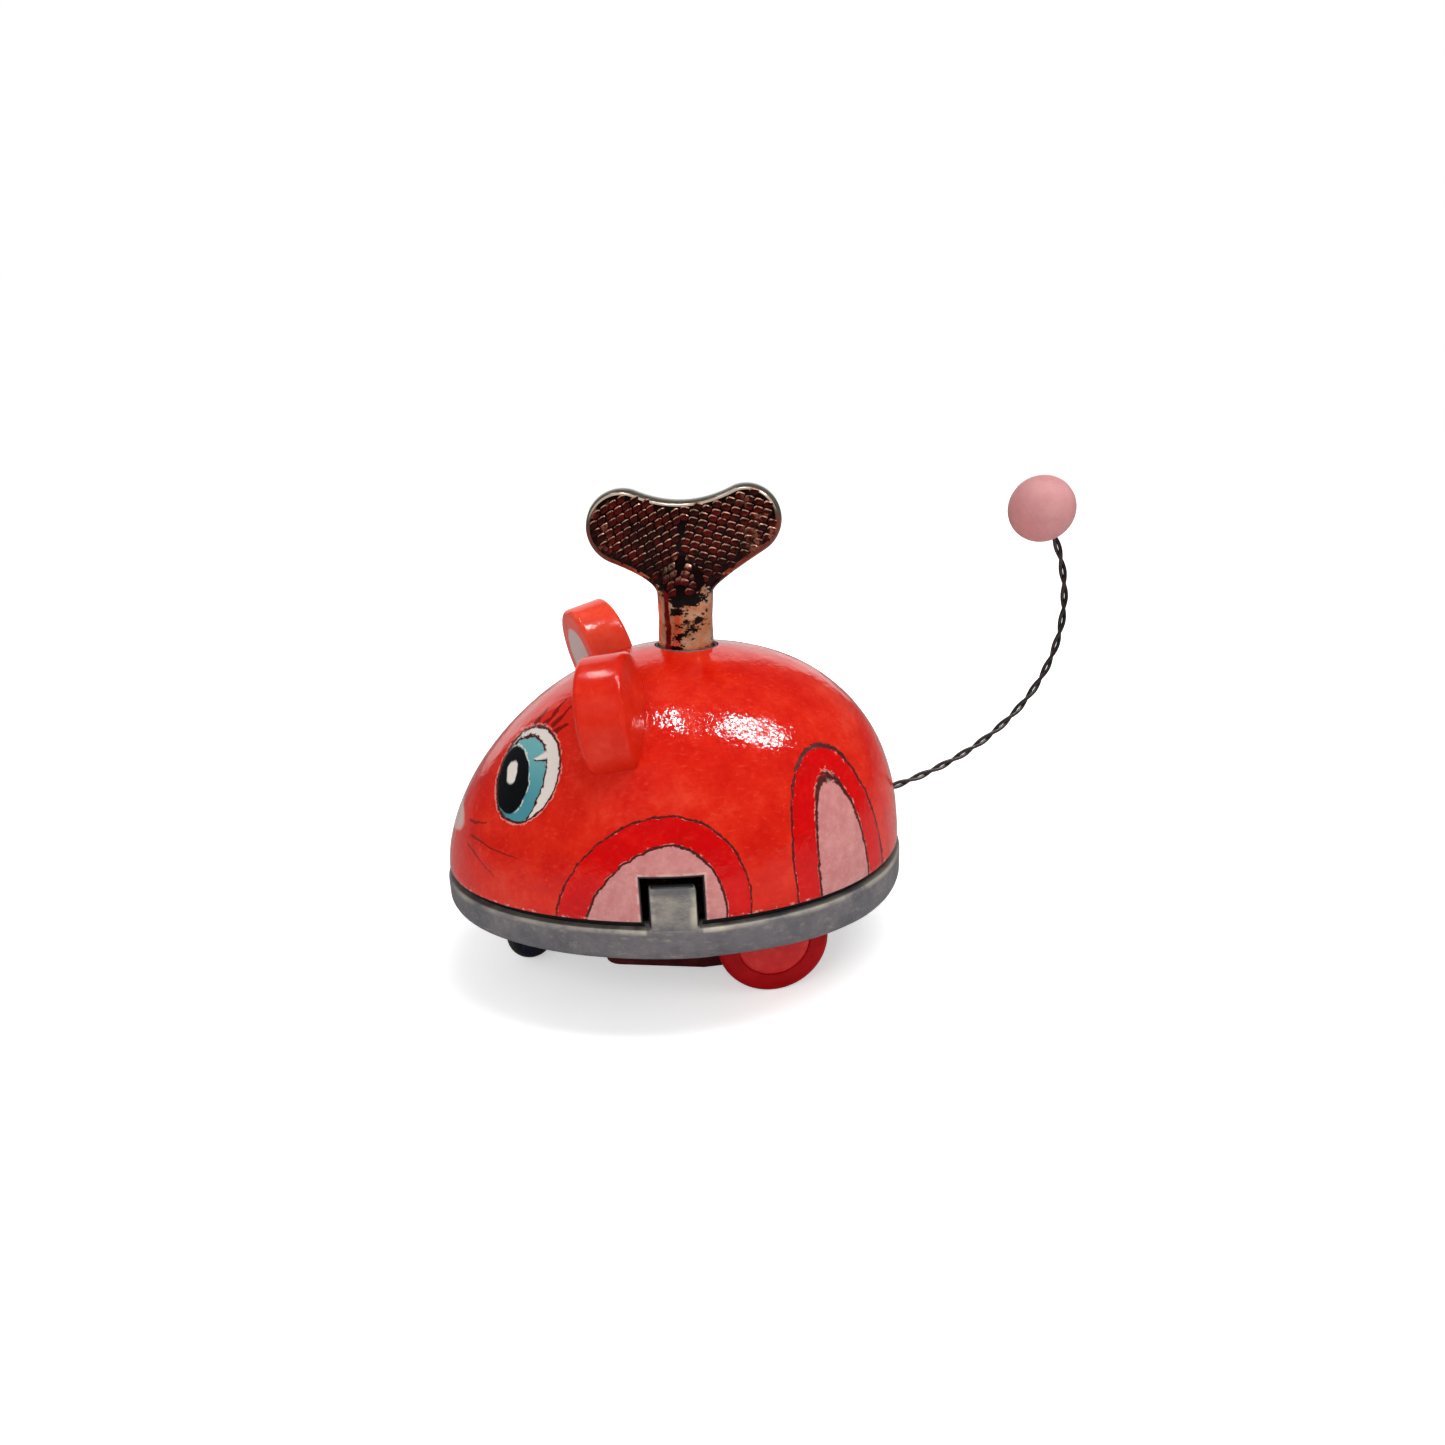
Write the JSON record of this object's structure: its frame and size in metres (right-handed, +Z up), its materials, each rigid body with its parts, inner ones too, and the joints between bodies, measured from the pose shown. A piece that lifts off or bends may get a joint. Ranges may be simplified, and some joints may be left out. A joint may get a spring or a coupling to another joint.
{
  "type": "clockwork mouse",
  "caption": "Wind-up clockwork mouse: red glazed dome with round ears and painted face, two-lobed winding key, grey base, wheels, front roller and a twisted-wire tail with a ball.",
  "frame": {"origin": "bottom centre of the bounding box, on the floor the wheels stand on", "axes": "+Y towards the tail (nose towards -Y), +X towards the mouse's left side, +Z up"},
  "size_m": [0.093, 0.1588, 0.1151],
  "materials": {
    "arbor": "bare steel",
    "axle_bush_left": "bare brass",
    "axle_bush_right": "bare brass",
    "axle_pinion": "bare brass",
    "base_pan": "pewter grey with worn pale edges",
    "body_shell": "glossy hand-painted red glaze with painted face and arches",
    "bottom_plate": "bare brass",
    "click": "bare steel",
    "click_rivet": "bare brass",
    "click_spring": "blued spring wire",
    "crown_wheel": "bare brass",
    "drive_housing": "dark maroon, satin",
    "ear_left": "glossy red glaze",
    "ear_right": "glossy red glaze",
    "fork_rivet": "bare steel",
    "frame_screw_1": "bare steel",
    "frame_screw_2": "bare steel",
    "frame_screw_3": "bare steel",
    "frame_screw_4": "bare steel",
    "front_fork": "bent sheet steel",
    "front_roller": "dark grey, satin",
    "great_wheel": "bare brass",
    "housing_screw_1": "bare steel",
    "housing_screw_2": "bare steel",
    "housing_screw_3": "bare steel",
    "housing_screw_4": "bare steel",
    "key_bush": "dull grey",
    "lay_pinion": "bare steel",
    "layshaft": "bare steel",
    "mainspring": "blued spring steel",
    "pillar_1": "bare brass",
    "pillar_2": "bare brass",
    "pillar_3": "bare brass",
    "pillar_4": "bare brass",
    "ratchet_wheel": "bare steel",
    "rear_axle": "bare steel",
    "roller_pin": "bare steel",
    "spring_post": "bare steel",
    "tail_ball": "matte pink paint",
    "tail_ferrule": "bare brass",
    "tail_strand_1": "bare grey wire",
    "tail_strand_2": "bare grey wire",
    "top_plate": "bare brass",
    "tyre_left": "deep red, satin",
    "tyre_right": "deep red, satin",
    "wheel_hub_left": "lighter red, satin gloss",
    "wheel_hub_right": "lighter red, satin gloss",
    "winding_key": "dark bronze lustre with a cross-hatched bow"
  },
  "bodies": {
    "body": {"axle_bush_left": "axle_bush_left", "axle_bush_right": "axle_bush_right", "base_pan": "base_pan", "body_shell": "body_shell", "bottom_plate": "bottom_plate", "drive_housing": "drive_housing", "ear_left": "ear_left", "ear_right": "ear_right", "fork_rivet": "fork_rivet", "frame_screw_1": "frame_screw_1", "frame_screw_2": "frame_screw_2", "frame_screw_3": "frame_screw_3", "frame_screw_4": "frame_screw_4", "front_fork": "front_fork", "housing_screw_1": "housing_screw_1", "housing_screw_2": "housing_screw_2", "housing_screw_3": "housing_screw_3", "housing_screw_4": "housing_screw_4", "key_bush": "key_bush", "mainspring": "mainspring", "pillar_1": "pillar_1", "pillar_2": "pillar_2", "pillar_3": "pillar_3", "pillar_4": "pillar_4", "roller_pin": "roller_pin", "spring_post": "spring_post", "tail_ball": "tail_ball", "tail_ferrule": "tail_ferrule", "tail_strand_1": "tail_strand_1", "tail_strand_2": "tail_strand_2", "top_plate": "top_plate"},
    "wheels": {"rear_axle": "rear_axle", "axle_pinion": "axle_pinion", "wheel_hub_left": "wheel_hub_left", "wheel_hub_right": "wheel_hub_right", "tyre_left": "tyre_left", "tyre_right": "tyre_right"},
    "key": {"winding_key": "winding_key", "arbor": "arbor", "ratchet_wheel": "ratchet_wheel"},
    "great_wheel": {"great_wheel": "great_wheel", "click_rivet": "click_rivet", "click_spring": "click_spring"},
    "click": {"click": "click"},
    "layshaft": {"layshaft": "layshaft", "lay_pinion": "lay_pinion", "crown_wheel": "crown_wheel"},
    "roller": {"front_roller": "front_roller"}
  },
  "joints": [
    {"name": "axle_spin", "type": "hinge", "parent": "body", "child": "wheels", "pos_m": [0, -0.00455, 0.0131], "axis": [1, 0, 0], "continuous": true},
    {"name": "key_turn", "type": "hinge", "parent": "body", "child": "key", "pos_m": [0, -0.01779, 0.05], "axis": [0, 0, 1], "continuous": true},
    {"name": "great_wheel_turn", "type": "hinge", "parent": "body", "child": "great_wheel", "pos_m": [0, -0.01779, 0.025], "axis": [0, 0, 1], "continuous": true},
    {"name": "click_lift", "type": "hinge", "parent": "great_wheel", "child": "click", "pos_m": [0.00559, -0.01179, 0.026], "axis": [0, 0, 1], "range_deg": [0, 12], "stiffness_Nm_per_rad": 0.005, "springref_deg": -5.73},
    {"name": "layshaft_turn", "type": "hinge", "parent": "body", "child": "layshaft", "pos_m": [0, -0.00455, 0.02], "axis": [0, 0, 1], "continuous": true},
    {"name": "roller_spin", "type": "hinge", "parent": "body", "child": "roller", "pos_m": [0, -0.06189, 0.0059], "axis": [1, 0, 0], "continuous": true}
  ],
  "couplings": [
    {"joint": "key_turn", "follows": "axle_spin", "ratio": 0.095238},
    {"joint": "great_wheel_turn", "follows": "axle_spin", "ratio": 0.095238},
    {"joint": "layshaft_turn", "follows": "axle_spin", "ratio": -0.33333}
  ]
}
